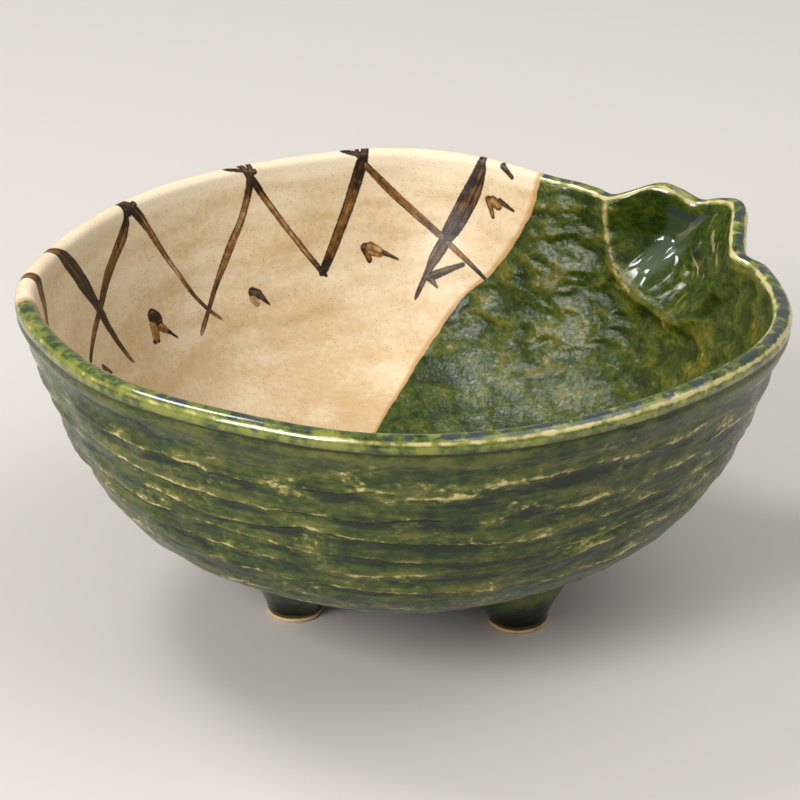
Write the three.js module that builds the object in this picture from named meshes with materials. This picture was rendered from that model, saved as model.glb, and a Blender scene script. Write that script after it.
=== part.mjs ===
// A deep stoneware serving bowl on three luted feet.
// At one corner its rim is pinched in and flares out again as a folded lobe over a pocket.
// Millimetres, +Z up, the floor at Z = 0, the viewer on the -Y side.
import * as THREE from "three";

// The wall, as a curve turned about the axis before any hand shaping.
const RIM_HEIGHT = 95; // floor to the top of the plain rim
const RIM_RADIUS = 101.7; // outside of the plain rim
const UNDERSIDE_HEIGHT = 10.4; // floor to the middle of the underside
const WALL = 5.4; // thickness of the wall and the rim
const FLOOR_EXTRA = 1.8; // how much thicker the middle of the floor is
const WALL_CURVE = [
  [0, 0],
  [0.155, 0.01],
  [0.313, 0.06],
  [0.516, 0.16],
  [0.749, 0.32],
  [0.862, 0.5],
  [0.939, 0.75],
  [1, 1],
]; // share of the rim's radius, share of the height

// What the potter's hands left: the rim's centre lies back of the base, and the rim wavers.
const LEAN = 6.6; // how far back
const LEAN_FROM = 0.3; // share of the wall, from the middle, that stands straight
const RIM_SWELLS = [
  { at: 184, out: 3.4, spread: 15 },
  { at: 92, out: 3.2, spread: 14 },
  { at: 58, out: -9.3, spread: 15 },
  { at: -15, out: 5, spread: 22 },
  { at: -115, out: -3.4, spread: 20 },
]; // degrees round the rim, millimetres, degrees
const RIM_DIPS = [
  { at: 180, down: 1, spread: 45 },
  { at: 0, down: 2.4, spread: 40 },
  { at: -90, down: 1.5, spread: 45 },
];
const SWELL_FROM = 0.25; // share of the wall, from the middle, that stays round

// The rolled edge outside the rim, and the throwing ridges below it.
const ROLL_OUT = 0.9;
const ROLL_DEPTH = 3.2; // from the rim's shoulder down to the middle of the roll
const ROLL_SPREAD = 3.4;
const RIDGES = 9;
const RIDGE_TOP = 12; // from the rim's shoulder down to the first crest
const RIDGE_PITCH = 8.2;
const RIDGE_OUT = 0.8;
const RIDGE_WANDER = 1.5; // how far a crest strays up and down

// The lobe. "along" runs round the rim from its middle, "down" runs down the wall.
const LOBE_AT = 30.8; // degrees round the rim
const LOBE_RIM = [
  [-42, 0, 0],
  [-33, -3, 0.6],
  [-26, -0.6, 2],
  [-19, 3, 3.6],
  [-13, 6.8, 5],
  [-8, 8.8, 5.3],
  [-3, 7.4, 4.2],
  [3.5, 4.4, 2.2],
  [8, 1.2, 4.7],
  [13, -0.6, 5.4],
  [19.5, -4.8, 2.6],
  [25.5, -5.6, 0.2],
  [34, -2.4, 0],
  [44, 0, 0],
]; // along, out, up: a crease near either end and the notch in the middle
const LIP_REACH = 14; // how far down the lip's outline shows in the wall
const LIFT_REACH = 26;
const NECK_MIDDLE = -2; // along
const NECK_HALF_WIDTH = 27.5;
const NECK_DEPTH = 26.5; // down to the foot of the pocket
const NECK_SQUARENESS = 2.4;
const NECK_IN = 3.4; // how far the ridge round the pocket stands into the bowl
const NECK_SPREAD = 4.4;
const POCKET_OUT = 6;
const POCKET_FLOOR = 0.6; // share of the pocket that is pressed fully out
const TROUGH = { at: 0.5, lean: 0.62, out: 3.4, spread: 5 };
const FOLD = { at: -4.5, lean: 0.2, out: -2, spread: 2.2 };

// Feet: where each one stands on a circle under the bowl, and its size beside the usual foot.
const FOOT_CIRCLE_RADIUS = 34;
const FOOT_HALF_WIDTH = 8.4;
const FOOT_HALF_DEPTH = 8;
const FEET = [
  { name: "foot_front_left", at: 199.5, reach: 0.94, size: 0.955 },
  { name: "foot_front_right", at: 333.6, reach: 1.08, size: 1.04 },
  { name: "foot_rear", at: 88, reach: 1, size: 1 },
];
const FOOT_OUTLINE = [
  [0, 0.9],
  [0.08, 1],
  [0.22, 1.06],
  [0.4, 1.2],
  [0.58, 1.38],
  [0.78, 1.6],
  [1, 1.85],
]; // share of its height, share of its half width
const LUTED_JOINT = 0.3; // the slip between a foot and the underside

// How finely the surfaces are divided.
const LOBE_MARGIN = 27; // degrees on either side of the lobe's middle
const LOBE_STEP = 1.5;
const ROUND_STEP = 5.4;
const RIM_ROWS = 4;
const LOW_ROWS = 7;
const INNER_FINE_ROWS = 13;
const INNER_LOW_ROWS = 8;
const FOOT_COLUMNS = 28;
const FOOT_TOP_RINGS = 4;

const GLAZE_GREEN = 0x3f5a2e;
const FOOT_GREEN = 0x34482a;

const { clamp, degToRad, euclideanModulo } = THREE.MathUtils;
const smooth = (low, high, x) => {
  const t = clamp((x - low) / (high - low), 0, 1);
  return t * t * (3 - 2 * t);
};
const bump = (x, spread) => Math.exp(-((x / spread) ** 2));
const turnBetween = (a, b) => euclideanModulo(a - b + 180, 360) - 180;

// The outer skin's section, from the middle of the underside to the rim's shoulder.
const shoulderHeight = RIM_HEIGHT - WALL / 2;
const section = new THREE.SplineCurve(
  WALL_CURVE.map(
    ([across, up]) =>
      new THREE.Vector2(
        across * RIM_RADIUS,
        UNDERSIDE_HEIGHT + up * (shoulderHeight - UNDERSIDE_HEIGHT),
      ),
  ),
);
section.arcLengthDivisions = 600;
const sectionLength = section.getLength();
const shareAt = (down) => clamp(1 - down / sectionLength, 0, 1);
const thickness = (share) => WALL + FLOOR_EXTRA * (1 - smooth(0.1, 0.6, share));

// Height of the underside at a distance from the axis.
function undersideHeight(radius) {
  let low = 0;
  let high = 1;
  for (let i = 0; i < 30; i++) {
    const middle = (low + high) / 2;
    if (section.getPointAt(middle).x < radius) low = middle;
    else high = middle;
  }
  return section.getPointAt(low).y;
}

const lobeRim = new THREE.CubicInterpolant(
  LOBE_RIM.map(([along]) => along),
  LOBE_RIM.flatMap(([, out, up]) => [out, up]),
  2,
);

// How the lobe moves a point of the wall: out from the axis, and up.
function lobeShift(angle, down) {
  const along = degToRad(turnBetween(angle, LOBE_AT)) * RIM_RADIUS;
  const [rimOut, rimUp] = lobeRim.evaluate(along);
  const across = Math.abs((along - NECK_MIDDLE) / NECK_HALF_WIDTH);
  const ring = (across ** NECK_SQUARENESS + (down / NECK_DEPTH) ** NECK_SQUARENESS) ** (1 / NECK_SQUARENESS);
  const inside = 1 - smooth(POCKET_FLOOR, 1, ring);
  const crease = (line) => line.out * bump(along - line.at - line.lean * down, line.spread);
  const neck = NECK_IN * bump((ring - 1) * NECK_HALF_WIDTH, NECK_SPREAD);
  const pocket = (POCKET_OUT + crease(TROUGH) + crease(FOLD)) * inside - neck;
  const lip = 1 - smooth(0, LIP_REACH, down);
  return {
    out: rimOut * lip + pocket * (1 - lip),
    up: rimUp * (1 - smooth(0, LIFT_REACH, down)),
  };
}

// A point of the wall: angle, share of the section, how far in from the outer skin, how far past its end.
function wallPoint(angle, share, inward, past) {
  const at = section.getPointAt(share);
  const tangent = section.getTangentAt(share);
  const down = (1 - share) * sectionLength;
  const sway = smooth(SWELL_FROM, 1, share);
  const lobe = lobeShift(angle, down);
  const swell = RIM_SWELLS.reduce((sum, s) => sum + s.out * bump(turnBetween(angle, s.at), s.spread), 0);
  const dip = RIM_DIPS.reduce((sum, s) => sum + s.down * bump(turnBetween(angle, s.at), s.spread), 0);
  const roll = ROLL_OUT * bump(down - ROLL_DEPTH, ROLL_SPREAD) * clamp(1 - inward / WALL, 0, 1);
  const radius = at.x + tangent.x * past - tangent.y * inward + swell * sway + lobe.out + roll;
  const height = at.y + tangent.y * past + tangent.x * inward - dip * sway + lobe.up;
  return new THREE.Vector3(
    radius * Math.cos(degToRad(angle)),
    radius * Math.sin(degToRad(angle)) + LEAN * smooth(LEAN_FROM, 1, share),
    height,
  );
}

// Closes rows of points between two poles into one skin that faces outward.
function closedSkin(firstPole, rows, lastPole) {
  const columns = rows[0].length;
  const positions = [firstPole, ...rows.flat(), lastPole].flatMap((p) => [p.x, p.y, p.z]);
  const last = 1 + rows.length * columns;
  const index = (row, column) => 1 + row * columns + (column % columns);
  const faces = [];
  for (let c = 0; c < columns; c++) {
    faces.push(0, index(0, c + 1), index(0, c));
    for (let r = 0; r + 1 < rows.length; r++) {
      faces.push(index(r, c), index(r, c + 1), index(r + 1, c + 1));
      faces.push(index(r, c), index(r + 1, c + 1), index(r + 1, c));
    }
    faces.push(index(rows.length - 1, c), index(rows.length - 1, c + 1), last);
  }
  const geometry = new THREE.BufferGeometry();
  geometry.setAttribute("position", new THREE.Float32BufferAttribute(positions, 3));
  geometry.setIndex(faces);
  geometry.computeVertexNormals();
  return geometry;
}

// Angles round the bowl, closer together over the lobe.
function bowlAngles() {
  const lobeSpan = 2 * LOBE_MARGIN;
  const spread = (from, span, step) => {
    const count = Math.round(span / step);
    return Array.from({ length: count }, (_, i) => from + (span * i) / count);
  };
  return [
    ...spread(LOBE_AT - LOBE_MARGIN, lobeSpan, LOBE_STEP),
    ...spread(LOBE_AT + LOBE_MARGIN, 360 - lobeSpan, ROUND_STEP),
  ];
}

// Rows of the outer skin from the underside up: how far down the wall, and how far a crest stands out.
function outerRows() {
  const flank = RIDGE_PITCH / 3;
  const lowest = RIDGE_TOP + RIDGE_PITCH * (RIDGES - 1) + flank;
  const rows = [];
  for (let i = 1; i <= LOW_ROWS; i++) {
    rows.push([sectionLength + ((lowest - sectionLength) * i) / (LOW_ROWS + 1), 0]);
  }
  for (let ridge = RIDGES - 1; ridge >= 0; ridge--) {
    const crest = RIDGE_TOP + RIDGE_PITCH * ridge;
    rows.push([crest + flank, 0], [crest, RIDGE_OUT], [crest - flank, 0]);
  }
  rows.push([ROLL_DEPTH * 1.6, 0], [ROLL_DEPTH * 0.7, 0], [0, 0]);
  return rows;
}

// How far the ridges stray at an angle. They keep still at the rim and on the underside.
function stray(angle, down) {
  const turn = degToRad(angle);
  const lowest = RIDGE_TOP + RIDGE_PITCH * RIDGES;
  const room = smooth(0, RIDGE_TOP, down) * (1 - smooth(lowest, sectionLength, down));
  const wave = 0.6 * Math.sin(2 * turn + 1) + 0.4 * Math.sin(5 * turn + down / RIDGE_PITCH);
  return RIDGE_WANDER * room * wave;
}

// The bowl's body: outer skin, rounded rim and inner skin, closed at two poles on the axis.
function bowlBody() {
  const angles = bowlAngles();
  const row = (point) => angles.map(point);
  const inner = (share) => row((angle) => wallPoint(angle, share, thickness(share), 0));
  const rows = outerRows().map(([down, crest]) =>
    row((angle) => wallPoint(angle, shareAt(down + stray(angle, down)), -crest, 0)),
  );
  for (let i = 1; i <= RIM_ROWS; i++) {
    const turn = (Math.PI * i) / (RIM_ROWS + 1);
    const inward = (WALL / 2) * (1 - Math.cos(turn));
    const past = (WALL / 2) * Math.sin(turn);
    rows.push(row((angle) => wallPoint(angle, 1, inward, past)));
  }
  const pocketFoot = NECK_DEPTH + 3 * NECK_SPREAD;
  for (let i = 0; i < INNER_FINE_ROWS; i++) {
    rows.push(inner(shareAt((pocketFoot * i) / INNER_FINE_ROWS)));
  }
  for (let i = 0; i < INNER_LOW_ROWS; i++) {
    rows.push(inner(shareAt(pocketFoot + ((sectionLength - pocketFoot) * i) / INNER_LOW_ROWS)));
  }
  const bottom = new THREE.Vector3(0, 0, UNDERSIDE_HEIGHT);
  const floor = new THREE.Vector3(0, 0, UNDERSIDE_HEIGHT + thickness(0));
  return closedSkin(bottom, rows, floor);
}

// One foot: a flat sole, flaring sides, and a top that follows the underside.
function footSolid({ at, reach, size }) {
  const turn = degToRad(at);
  const outward = new THREE.Vector3(Math.cos(turn), Math.sin(turn), 0);
  const sideways = new THREE.Vector3(-Math.sin(turn), Math.cos(turn), 0);
  const sole = outward.clone().multiplyScalar(FOOT_CIRCLE_RADIUS * reach);
  const topHeight = (p) => undersideHeight(Math.hypot(p.x, p.y)) - LUTED_JOINT;
  const ring = (share, spread) =>
    Array.from({ length: FOOT_COLUMNS }, (_, column) => {
      const t = (2 * Math.PI * column) / FOOT_COLUMNS;
      const p = sole
        .clone()
        .addScaledVector(outward, FOOT_HALF_DEPTH * size * spread * Math.cos(t))
        .addScaledVector(sideways, FOOT_HALF_WIDTH * size * spread * Math.sin(t));
      return p.setZ(share * topHeight(p));
    });
  const rows = FOOT_OUTLINE.map(([share, spread]) => ring(share, spread));
  const [, topSpread] = FOOT_OUTLINE.at(-1);
  for (let i = 1; i < FOOT_TOP_RINGS; i++) rows.push(ring(1, topSpread * (1 - i / FOOT_TOP_RINGS)));
  return closedSkin(sole, rows, sole.clone().setZ(topHeight(sole)));
}

const glaze = new THREE.MeshStandardMaterial({ color: GLAZE_GREEN, roughness: 0.15, metalness: 0 });
const footGlaze = new THREE.MeshStandardMaterial({ color: FOOT_GREEN, roughness: 0.2, metalness: 0 });
const bowl = new THREE.Group();
function add(name, geometry, material) {
  const mesh = new THREE.Mesh(geometry, material);
  mesh.name = name;
  bowl.add(mesh);
}
add("bowl_body", bowlBody(), glaze);
for (const foot of FEET) add(foot.name, footSolid(foot), footGlaze);

// The origin lies under the middle of the whole bowl, the lobe included.
const centre = new THREE.Box3().setFromObject(bowl).getCenter(new THREE.Vector3());
bowl.position.set(-centre.x, -centre.y, 0);

export default bowl;
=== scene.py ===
"""A serving bowl of glazed stoneware on three luted feet, with one corner pinched into a folded lobe."""

import math

import bpy
import numpy as np
from bpy.props import FloatProperty, FloatVectorProperty, IntProperty, PointerProperty
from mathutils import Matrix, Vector


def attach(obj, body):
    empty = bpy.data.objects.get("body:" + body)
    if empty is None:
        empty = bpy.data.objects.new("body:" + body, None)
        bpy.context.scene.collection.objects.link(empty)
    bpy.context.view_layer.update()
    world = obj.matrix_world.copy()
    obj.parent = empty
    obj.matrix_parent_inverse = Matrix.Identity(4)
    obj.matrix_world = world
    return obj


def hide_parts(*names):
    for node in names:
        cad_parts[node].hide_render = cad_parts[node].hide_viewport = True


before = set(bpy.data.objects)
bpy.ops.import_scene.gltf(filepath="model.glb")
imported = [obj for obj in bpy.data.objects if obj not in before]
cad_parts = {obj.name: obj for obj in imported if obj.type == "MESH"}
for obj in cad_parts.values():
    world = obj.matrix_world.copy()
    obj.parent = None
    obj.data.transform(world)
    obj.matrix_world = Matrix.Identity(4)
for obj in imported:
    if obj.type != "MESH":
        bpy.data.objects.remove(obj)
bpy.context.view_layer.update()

bl_info = {
    "name": "Pinched Serving Bowl",
    "version": (1, 0, 0),
    "blender": (4, 5, 0),
    "location": "View3D > Sidebar > Serving Bowl",
    "description": "Builds a glazed stoneware bowl with a pinched lobe, its feet and a plain stage",
    "category": "Add Mesh",
}

MM = 0.001

# Sizes that shape the wall, in millimetres and degrees.
WALL_CURVE = (
    (0, 0), (0.155, 0.01), (0.313, 0.06), (0.516, 0.16), (0.749, 0.32), (0.862, 0.5), (0.939, 0.75), (1, 1),
)  # share of the rim's radius, share of the height
FLOOR_EXTRA = 1.8  # how much thicker the middle of the floor is than the wall
AXIS = (-0.16, -8.43)  # where the base's axis stands, because the origin lies under the whole bowl
LEAN, LEAN_FROM = 6.6, 0.3  # how far back the rim lies, and the share of the wall that stands straight
# Where the rim swells or dips: degrees round the bowl, how far out or down, spread in degrees.
RIM_SWELLS = ((184, 3.4, 15), (92, 3.2, 14), (58, -9.3, 15), (-15, 5, 22), (-115, -3.4, 20))
RIM_DIPS = ((180, 1, 45), (0, 2.4, 40), (-90, 1.5, 45))
SWELL_FROM = 0.25  # share of the wall that stays round
ROLL_OUT, ROLL_DEPTH, ROLL_SPREAD = 0.9, 3.2, 3.4  # the rolled edge outside, below the rim's shoulder
GROOVE_IN, GROOVE_DEPTH, GROOVE_REACH = 0.45, 1.3, 1.3  # the line cut between the rim and the roll
FOLD_OUT = 2.2  # height of the folds and the run of glaze in the lobe
WAVER_OUT = 0.5  # how far the whole skin wavers
LOBE_AT = 30.8  # degrees round the bowl to the lobe's middle
LOBE_RIM = (
    (-42, 0, 0), (-33, -3, 0.6), (-26, -0.6, 2), (-19, 3, 3.6), (-13, 6.8, 5), (-8, 8.8, 5.3),
    (-3, 7.4, 4.2), (3.5, 4.4, 2.2), (8, 1.2, 4.7), (13, -0.6, 5.4), (19.5, -4.8, 2.6), (25.5, -5.6, 0.2),
    (34, -2.4, 0), (44, 0, 0),
)  # along the rim from the lobe's middle, out, up
LIP_REACH, LIFT_REACH = 14, 26  # how far down the lip's outline and its lift show in the wall
# The ridge that frames the lobe's pocket: its shape on the wall, then how far it stands in and how broad.
NECK_MIDDLE, NECK_HALF_WIDTH, NECK_DEPTH, NECK_SQUARENESS = -2, 27.5, 26.5, 2.4
NECK_IN, NECK_SPREAD = 3.4, 4.4
POCKET_OUT, POCKET_FLOOR = 6, 0.6  # how far the pocket is pressed out, and the share pressed fully
CREASES = ((0.5, 0.62, 3.4, 5), (-4.5, 0.2, -2, 2.2))  # at, lean, out, spread
MM_PER_DEGREE = 1.775  # how far a degree runs round the rim

FEET = {
    "foot_front_left": (199.5, 0.94, 0.955),
    "foot_front_right": (333.6, 1.08, 1.04),
    "foot_rear": (88, 1, 1),
}  # degrees round the axis, share of the usual distance from it, share of the usual size
FOOT_OUTLINE = (
    (0, 0.88), (0.012, 0.95), (0.035, 0.99), (0.07, 1), (0.12, 1), (0.18, 1.03), (0.25, 1.09), (0.33, 1.18),
    (0.42, 1.3), (0.51, 1.45), (0.6, 1.62), (0.7, 1.8), (0.8, 1.95), (0.9, 2.05), (1.02, 2.1),
)  # share of its height, share of its half width
SLIP_REACH = 24  # how far from a foot's middle the slip that holds it is smeared

# How finely the surfaces are divided: each stretch of wall ends so far below the rim, after so many rows.
OUTER_ROWS = ((110, 12), (62, 40), (4, 76), (0, 8))
INNER_ROWS = ((48, 62), (100, 30))
INNER_FLOOR_ROWS = 14
RIM_ROWS = 14
LOBE_MARGIN = 27  # degrees on either side of the lobe's middle
LOBE_COLUMNS, OTHER_COLUMNS = 92, 292
FOOT_COLUMNS = 72
FOOT_CAP_RINGS = (0.8, 0.55, 0.28)  # share of the width at which the sole and the top are divided

# The stage, in metres and degrees.
LAMPS = {
    "key": ((-1.1, -1.25, 1.12), 0.8),
    "high": ((-0.8, 0.4, 1.57), 0.5),
    "fill": ((0.96, -0.16, 1.6), 1.6),
}  # place, width
LAMPS_FACE = (0, 0, 0.05)
CAMERA_AT = (-0.00046, -0.68506, 0.37626)
CAMERA_TILT = 65
CAMERA_LENS, CAMERA_SENSOR = 121, 36  # millimetres
FLOOR_HALF = 4000  # millimetres
FLOOR_ROUGHNESS = 0.9

RIDGE_PITCH = 8.6  # usual distance from one finger ridge to the next
# Crests that the potter's fingers left outside: degrees round the bowl, millimetres below the rim's shoulder.
CRESTS = (
    ((-270, 12), (-240, 13.5), (-210, 11), (-180, 12), (-157, 13), (-140, 14), (-128, 14.5), (-112, 15.5),
     (-104, 15), (-99, 14.5), (-93, 12.3), (-90, 14), (-86, 15), (-80, 14), (-76, 12.5), (-65, 11),
     (-60, 10.5), (-55, 11.5), (-45, 12), (-38, 10.5), (-30, 8), (-10, 8), (30, 10), (60, 12.5), (90, 12)),
    ((-270, 20), (-235, 18), (-205, 21), (-180, 19), (-160, 20), (-140, 22), (-125, 24), (-112, 23.5),
     (-105, 23), (-95, 24), (-88, 22), (-84, 22.5), (-80, 24.5), (-76, 24), (-72, 22), (-69, 20.5), (-66, 23),
     (-62, 24), (-57, 23.5), (-52, 24.5), (-49, 22.3), (-42, 21.5), (-34, 18), (-10, 17), (30, 19), (90, 20)),
    ((-270, 27), (-230, 28), (-200, 25), (-180, 25), (-155, 24.5), (-144, 26), (-138, 28), (-131, 28.5),
     (-122, 31), (-112, 29.5), (-106, 27.5), (-98, 29), (-88, 31), (-70, 32), (-56, 30.5), (-40, 29),
     (-28, 28), (0, 27), (40, 29), (90, 27)),
    ((-270, 35), (-220, 33), (-180, 35), (-150, 34), (-120, 34.5), (-112, 35.5), (-105, 36.5), (-95, 36),
     (-88, 37), (-80, 38), (-70, 38.5), (-58, 38), (-50, 36), (-45, 35), (-38, 35), (-33, 33.5), (-28, 30.5),
     (-10, 33), (40, 36), (90, 35)),
    ((-270, 42), (-215, 40), (-180, 41), (-155, 37.7), (-150, 38), (-140, 39.5), (-130, 40), (-115, 41),
     (-110, 42), (-100, 42.5), (-88, 43), (-76, 43.5), (-65, 44), (-55, 41), (-50, 40.5), (-42, 42),
     (-36, 41.5), (-20, 40), (30, 43), (90, 42)),
    ((-270, 49), (-220, 50), (-180, 51), (-160, 51), (-150, 48.5), (-140, 48), (-130, 49), (-112, 49),
     (-100, 50), (-88, 50.5), (-82, 51.5), (-70, 52.5), (-62, 52.5), (-50, 51.5), (-30, 50), (0, 51),
     (40, 49), (90, 49)),
    ((-270, 58), (-200, 57), (-150, 60), (-130, 60.5), (-115, 58.5), (-103, 56.5), (-97, 55.5), (-90, 56),
     (-84, 58), (-78, 60), (-55, 60), (-20, 58), (30, 59), (90, 58)),
    ((-270, 66), (-190, 64), (-120, 66), (-90, 63), (-50, 67), (0, 65), (90, 66)),
    ((-270, 75), (-200, 73), (-120, 74), (-60, 76), (0, 72), (90, 75)),
    ((-270, 85), (-190, 84), (-110, 86), (-40, 83), (90, 85)),
    ((-270, 97), (-180, 98), (-90, 96), (0, 98), (90, 97)),
)

# The edge of the cream glaze inside: millimetres down the wall, degrees round the bowl, on either side.
CREAM_RIGHT = (
    (-3, 61.4), (2, 61.8), (8, 62.3), (14, 64), (20, 66), (28, 69), (33, 71.5), (40, 76), (55, 82), (80, 92),
    (98, 104), (112, 122), (118, 145), (130, 200), (144, 200),
)
CREAM_LEFT = (
    (-3, 189), (20, 187.5), (55, 182), (85, 176), (104, 166), (112, 155), (118, 140), (130, 90), (144, 90),
)
CREAM_MIDDLE = 120  # degrees round the bowl to the middle of the cream glaze
EDGE_ROUNDING = 18  # how softly the two sides of the edge meet on the floor

# What a stroke's three lists may hold: degrees round the bowl, half width in millimetres, strength.
STROKE_SPANS = ((60, 200), (0, 5), (0, 1))
# Iron brushwork, common crossed lines. A stroke's middle, its half width and its strength are each given at
# a few depths, in millimetres down the wall.
STROKES = (
    (
        ((-3, 179), (5, 181), (9, 182.9), (11, 184.6), (12.5, 186.5)),
        ((-3, 1.8), (2, 3), (8, 2.8), (11, 1.5), (12.5, 0)),
        ((-3, 0.6), (1, 0.9), (9, 0.7), (12.5, 0.8)),
    ),
    (
        ((-3, 168.7), (3, 166.5), (15, 163.4), (34, 159.4), (41, 157)),
        ((-3, 1.6), (3, 3.3), (10, 3.4), (17, 2.3), (35, 1.2), (39, 0.8), (41, 0)),
        ((-3, 0.6), (3, 1), (30, 1), (41, 0.4)),
    ),
    (
        ((-3, 146.3), (1, 146.7), (6.5, 149.5), (12, 154.6), (22, 163.4), (28, 169.4), (31.5, 172.5)),
        ((-3, 0.8), (1, 1.3), (4, 2.4), (10, 3.6), (17, 2.6), (22, 2.4), (30, 1.5), (31.5, 0)),
        ((-3, 0.7), (1, 0.9), (9, 0.65), (21, 0.9), (25, 0.6), (28, 0.7), (30, 1), (31.5, 1)),
    ),
    (
        ((-3, 145.5), (3, 143.5), (24, 137.5), (34, 133.9), (42, 129.6)),
        ((-3, 1.3), (1, 2.2), (5, 1.7), (30, 0.9), (38, 0.9), (42, 0)),
        ((-3, 0.7), (1, 0.95), (7, 0.5), (24, 0.5), (36.5, 0.7), (42, 0.4)),
    ),
    (
        ((-3, 117.9), (4, 118.9), (12, 121.1), (20, 124.5), (44, 136.3)),
        ((-3, 0.8), (2, 1.4), (10, 1.4), (20, 1.9), (35, 1.2), (41.5, 1.2), (44, 0)),
        ((-3, 0.7), (2, 0.9), (9, 0.5), (20, 0.45), (36.5, 0.8), (44, 0.4)),
    ),
    (
        ((-3, 119.6), (11.5, 114.9), (24, 110), (35, 105.1)),
        ((-3, 1.1), (2, 1.5), (7, 1.3), (28, 1.2), (33, 1.2), (35, 0)),
        ((-3, 0.8), (2, 1), (11, 0.5), (26, 0.5), (32.5, 0.9), (35, 0.9)),
    ),
    (
        ((-3, 96.2), (11.5, 99.2), (24, 102.7), (34.5, 106.3)),
        ((-3, 1.2), (4, 2.1), (29, 2), (32.5, 1.8), (34.5, 0)),
        ((-3, 0.7), (0.5, 0.95), (11.5, 0.7), (27, 0.75), (32.5, 1), (34.5, 1)),
    ),
    (
        ((-1, 97.7), (5, 94.8), (16, 88), (26, 79.7), (35, 70.7)),
        ((-1, 0.7), (4, 1.5), (20, 2.1), (28, 1.9), (33.5, 1.3), (35, 0)),
        ((-1, 0.8), (5, 0.5), (17.5, 0.55), (22, 0.8), (26.5, 0.5), (33.5, 1), (35, 1)),
    ),
    (
        ((-3, 74.9), (2, 75.3), (18, 79.2), (30, 83.2), (39, 85.9), (44, 87.1)),
        ((-3, 1.1), (5, 2.9), (12, 3.6), (21.5, 3.3), (24, 2.6), (28, 2.5), (35, 1.2), (42, 0.8), (44, 0)),
        ((-3, 0.8), (0.5, 1), (11.5, 0.85), (22, 1), (29, 0.8), (37, 0.9), (44, 0.8)),
    ),
)
# Dabs between the lines: from (degrees, depth, radius) to the same, then strength.
DABS = (
    ((73, 9.4, 1.2), (71.6, 14.2, 0.7), 0.7), ((72, 9.6, 1.8), (70.6, 10.4, 1.5), 0.5),
    ((70.4, 9, 1), (67, 10.6, 0.4), 0.85),
    ((97, 27.2, 1.6), (96.2, 31, 0.9), 0.7), ((96, 27.6, 2.1), (94.2, 28.8, 1.6), 0.45),
    ((94.4, 28.2, 1), (90.6, 31, 0.35), 0.75),
    ((77.2, 30.6, 0.7), (84.2, 36, 1.6), 0.85), ((84, 36.4, 1.3), (82.6, 38.8, 0.5), 0.7),
    ((147.1, 31.8, 2.6), (146.4, 33, 2.8), 0.9), ((147.6, 34.4, 2.4), (148, 38, 1.8), 0.35),
    ((148.8, 38.7, 0.9), (147.6, 39, 0.8), 0.9), ((146, 35.4, 1.6), (144.6, 37.4, 1.1), 0.4),
    ((144.6, 37.4, 0.8), (142.2, 41, 0.3), 0.9),
    ((121.6, 35.4, 1.8), (120.4, 36.3, 1.6), 0.85), ((121.7, 37.2, 1.7), (121.2, 39, 1.2), 0.35),
    ((119.9, 37.2, 1.1), (118.4, 40.2, 0.3), 0.7),
    ((167.8, 34.8, 1), (165.8, 38, 0.5), 0.8), ((70.6, -1.6, 1), (68.2, 0.8, 0.7), 0.9),
    ((117.4, -0.4, 0.9), (122.6, -2.6, 0.4), 0.8), ((96.6, -0.8, 1), (100.4, -2.6, 0.5), 0.85),
    ((145.8, 0.4, 1.2), (143.8, -1.2, 1), 0.95),
)


def linear(colour):
    """The linear red, green and blue of a colour written as 0xRRGGBB."""
    parts = [(colour >> shift & 255) / 255 for shift in (16, 8, 0)]
    return tuple(p / 12.92 if p <= 0.04045 else ((p + 0.055) / 1.055) ** 2.4 for p in parts)


def length(name, description, millimetres, **limits):
    return FloatProperty(
        name=name, description=description, default=millimetres * MM, unit="LENGTH", precision=4, **limits
    )


def colour(name, description, written):
    return FloatVectorProperty(
        name=name, description=description, default=linear(written), subtype="COLOR", size=3, min=0, max=1
    )


def power(name, description, watts):
    return FloatProperty(name=name, description=description, default=watts, min=0, unit="POWER")


class BowlSizes(bpy.types.PropertyGroup):
    """Sizes of the bowl's wall, feet and surface relief"""

    rim_radius: length("Rim radius", "Outside of the plain rim", 101.7, min=0.05)
    rim_height: length("Rim height", "Floor to the top of the plain rim", 95, min=0.03)
    underside_height: length("Underside height", "Floor to the middle of the underside", 10.4, min=0.002)
    wall: length("Wall", "Thickness of the wall and the rim", 5.4, min=0.002)
    foot_from_axis: length("Foot distance", "Usual distance of a foot from the base's axis", 34, min=0.01)
    foot_half_width: length("Foot half width", "Half of a foot's width round the bowl", 8.4, min=0.003)
    foot_half_depth: length("Foot half depth", "Half of a foot's depth towards the axis", 8, min=0.003)
    ridge_out: length("Ridge height", "How far the lip of a finger ridge stands out", 1.0, min=0)
    beaten_out: length("Beaten height", "How far the outside swells between the potter's pats", 1.3, min=0)
    slip_out: length("Slip height", "How thick the slip lies under the bowl round a foot", 3, min=0)
    lump_out: length("Lump height", "How far the pressed lumps in the green corner stand out", 1.0, min=0)
    lump_size: length("Lump size", "Distance from one pressed lump to the next", 10, min=0.001)
    ring_out: length("Inner ring height", "How far the soft rings in the cream side stand out", 1.1, min=0)
    seed: IntProperty(name="Seed", description="Fixes the chance in the relief and glaze", default=4, min=0)


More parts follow.
